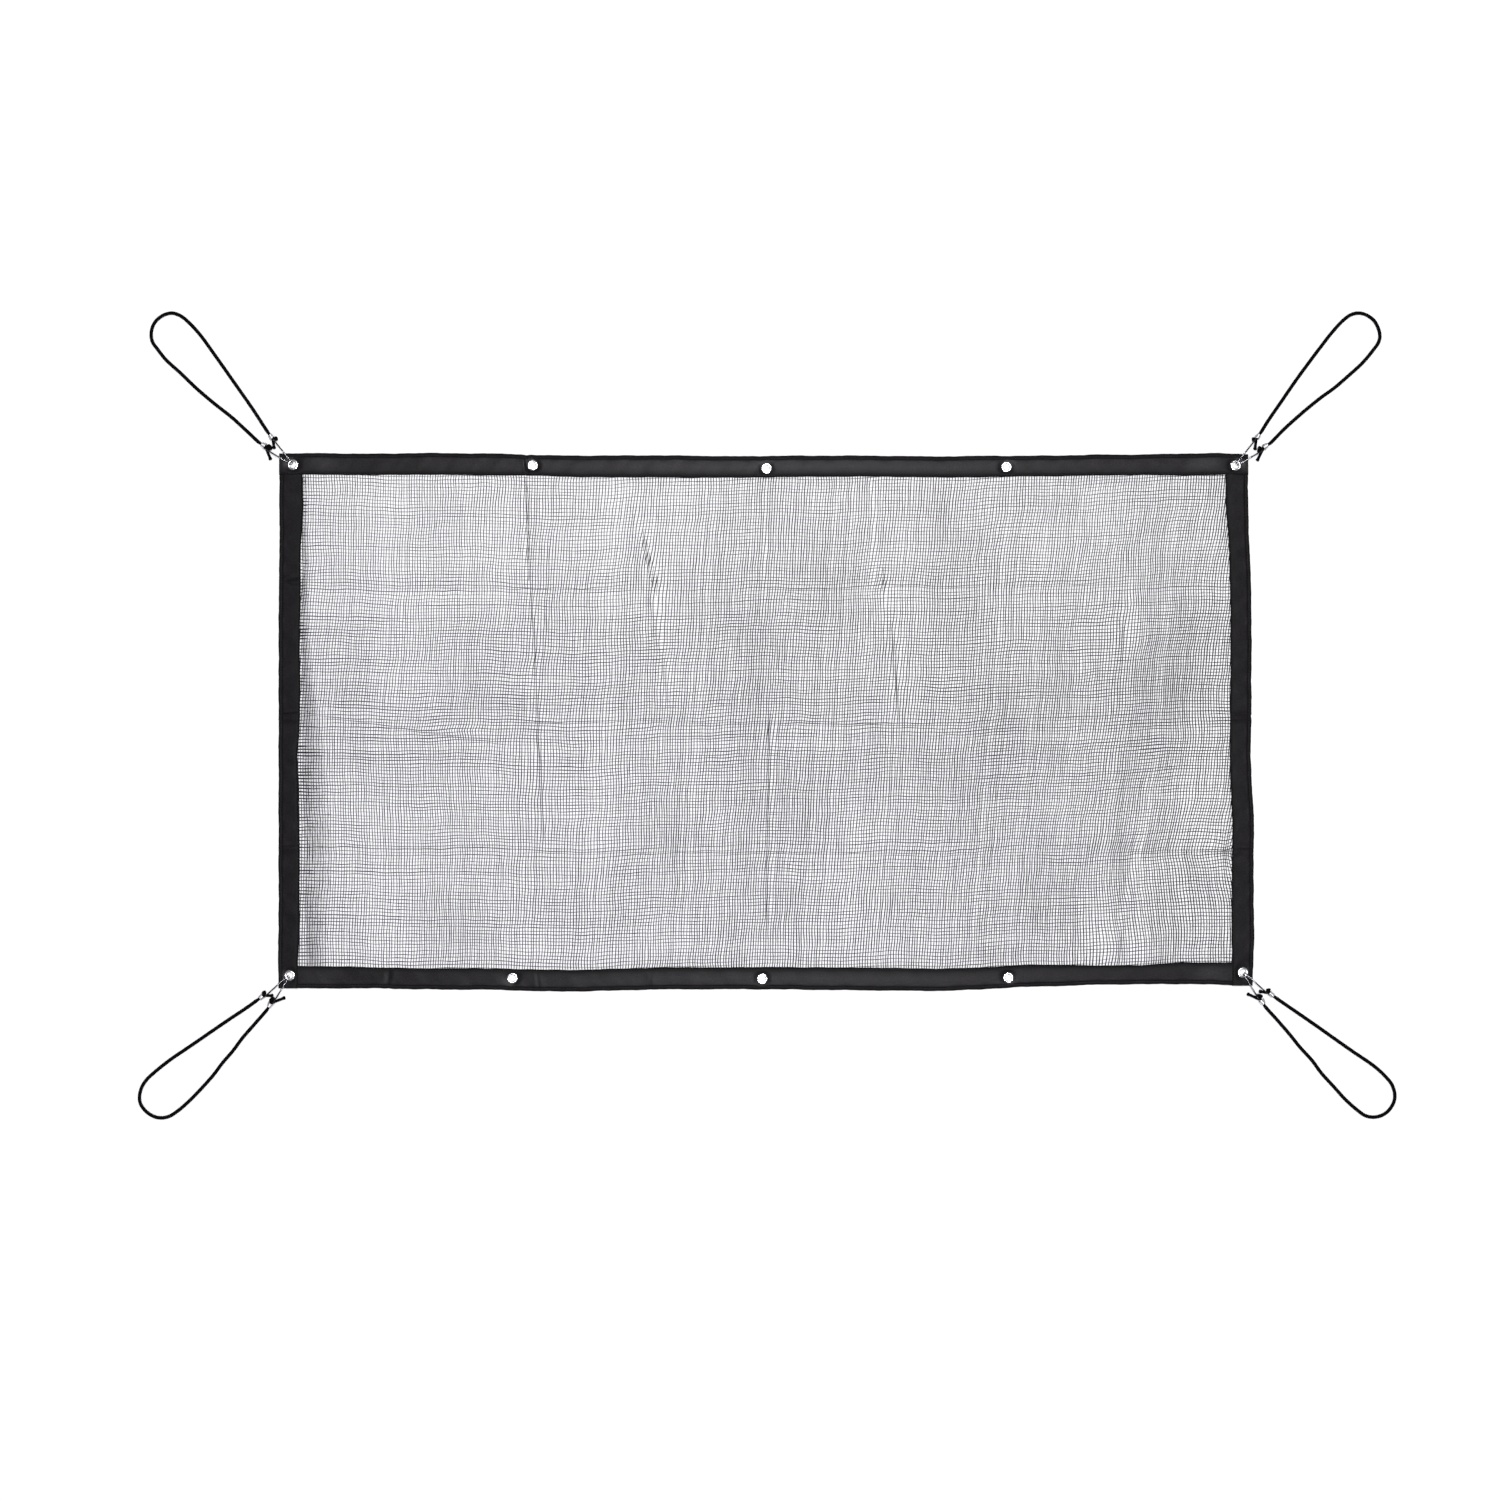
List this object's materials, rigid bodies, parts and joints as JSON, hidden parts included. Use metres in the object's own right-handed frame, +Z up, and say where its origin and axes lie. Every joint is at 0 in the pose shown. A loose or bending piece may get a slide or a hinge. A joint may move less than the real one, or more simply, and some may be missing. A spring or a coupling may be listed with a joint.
{
  "type": "dog barrier net",
  "caption": "Flat rectangular fine-mesh barrier net in a folded tape binding with pressed eyelets, and an elastic cord loop on wire hooks at each corner for tying it across a gap.",
  "frame": {"origin": "centre of the cloth's outline, on the surface that the net lies on", "axes": "+X along the long edge, +Y across it towards the edge at the top of the picture, +Z up from the surface"},
  "size_m": [1.4872, 0.9547, 0.0077],
  "materials": {
    "net": "fine black square mesh of thin filament",
    "tape": "matt black woven tape with a faint grey cast",
    "steel": "bright plated metal",
    "cord": "black braided sheath over elastic"
  },
  "bodies": {
    "root": {"net_panel": "net", "binding_top": "tape", "binding_bottom": "tape", "binding_left": "tape", "binding_right": "tape", "eyelet_top_1": "steel", "eyelet_top_2": "steel", "eyelet_top_3": "steel", "eyelet_top_4": "steel", "eyelet_top_5": "steel", "eyelet_bottom_1": "steel", "eyelet_bottom_2": "steel", "eyelet_bottom_3": "steel", "eyelet_bottom_4": "steel", "eyelet_bottom_5": "steel", "hook_tl_a": "steel", "hook_tl_b": "steel", "hook_tr_a": "steel", "hook_tr_b": "steel", "hook_bl_a": "steel", "hook_bl_b": "steel", "hook_br_a": "steel", "hook_br_b": "steel", "knot_tl_a": "cord", "knot_tl_b": "cord", "knot_tr_a": "cord", "knot_tr_b": "cord", "knot_bl_a": "cord", "knot_bl_b": "cord", "knot_br_a": "cord", "knot_br_b": "cord", "cord_tl": "cord", "cord_tr": "cord", "cord_bl": "cord", "cord_br": "cord"}
  },
  "joints": []
}
